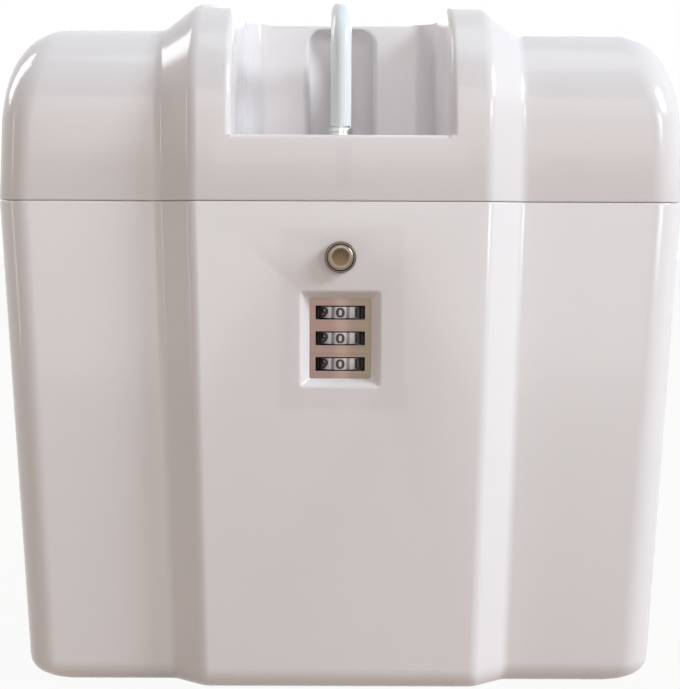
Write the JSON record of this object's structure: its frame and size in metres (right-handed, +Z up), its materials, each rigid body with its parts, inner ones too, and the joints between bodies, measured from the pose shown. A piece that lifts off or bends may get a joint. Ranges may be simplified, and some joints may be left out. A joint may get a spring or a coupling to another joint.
{
  "type": "medication lock box",
  "caption": "Upright moulded storage box with a rear-hinged lid, a fixed carrying handle sunk in a wrap-over belt, and a push-button latch above number wheels.",
  "frame": {"origin": "middle of the footprint's bounding box, on the surface that the box stands on", "axes": "+Z up; +X to the right of someone facing the lock; +Y from the lock's face to the hinge"},
  "size_m": [0.214, 0.1672, 0.2165],
  "materials": {
    "shell": "glossy",
    "vinyl": "satin",
    "steel": "bright zinc",
    "spring_steel": "plain",
    "bronze": "brushed, nickel over brass",
    "plate": "satin metallic",
    "wheels": "satin plated",
    "housing": "matt"
  },
  "bodies": {
    "body": {"body_shell": "shell", "hinge_pin": "steel", "dial_window_plate": "plate", "lock_housing": "housing", "dial_shaft": "steel", "detent_comb": "spring_steel", "button_bush": "bronze", "button_nut": "steel", "lock_cover": "spring_steel", "cover_screw_1": "steel", "cover_screw_2": "steel", "cover_screw_3": "steel", "cover_screw_4": "steel", "lever_rivet": "steel", "hinge_leaf_tub": "shell", "hinge_screw_tub_1": "steel", "hinge_screw_tub_2": "steel", "hinge_screw_tub_3": "steel"},
    "lid": {"lid_shell": "shell", "handle_rod": "steel", "handle_sleeve": "vinyl", "handle_ferrule_front": "steel", "handle_ferrule_rear": "steel", "handle_washer_front": "steel", "handle_washer_rear": "steel", "handle_nut_front": "steel", "handle_nut_rear": "steel", "striker_plate": "steel", "striker_screw_1": "steel", "striker_screw_2": "steel", "hinge_leaf_lid": "shell", "hinge_screw_lid_1": "steel", "hinge_screw_lid_2": "steel", "hinge_screw_lid_3": "steel"},
    "latch": {"push_button": "bronze", "latch_slide": "spring_steel", "fence_comb": "steel", "stem_clip": "spring_steel", "button_spring": "spring_steel"},
    "dial_1": {"dial_wheel_1": "wheels", "code_disc_1": "steel"},
    "dial_2": {"dial_wheel_2": "wheels", "code_disc_2": "steel"},
    "dial_3": {"dial_wheel_3": "wheels", "code_disc_3": "steel"},
    "code_lever": {"code_set_lever": "steel"}
  },
  "joints": [
    {"name": "lid_hinge", "type": "hinge", "parent": "body", "child": "lid", "pos_m": [0, 0.07908, 0.153], "axis": [-1, 0, 0], "range_deg": [0, 105]},
    {"name": "button_press", "type": "slide", "parent": "body", "child": "latch", "axis": [0, 1, 0], "range_m": [0, 0.003], "stiffness_N_per_m": 800, "springref_m": -0.002, "deforming": ["button_spring"]},
    {"name": "dial_1_turn", "type": "hinge", "parent": "body", "child": "dial_1", "pos_m": [0, -0.06902, 0.11893], "axis": [0, 0, 1], "continuous": true},
    {"name": "dial_2_turn", "type": "hinge", "parent": "body", "child": "dial_2", "pos_m": [0, -0.06902, 0.111], "axis": [0, 0, 1], "continuous": true},
    {"name": "dial_3_turn", "type": "hinge", "parent": "body", "child": "dial_3", "pos_m": [0, -0.06902, 0.10307], "axis": [0, 0, 1], "continuous": true},
    {"name": "code_lever_swing", "type": "hinge", "parent": "body", "child": "code_lever", "pos_m": [0, -0.0515, 0.107], "axis": [0, 1, 0], "range_deg": [0, 60]}
  ]
}
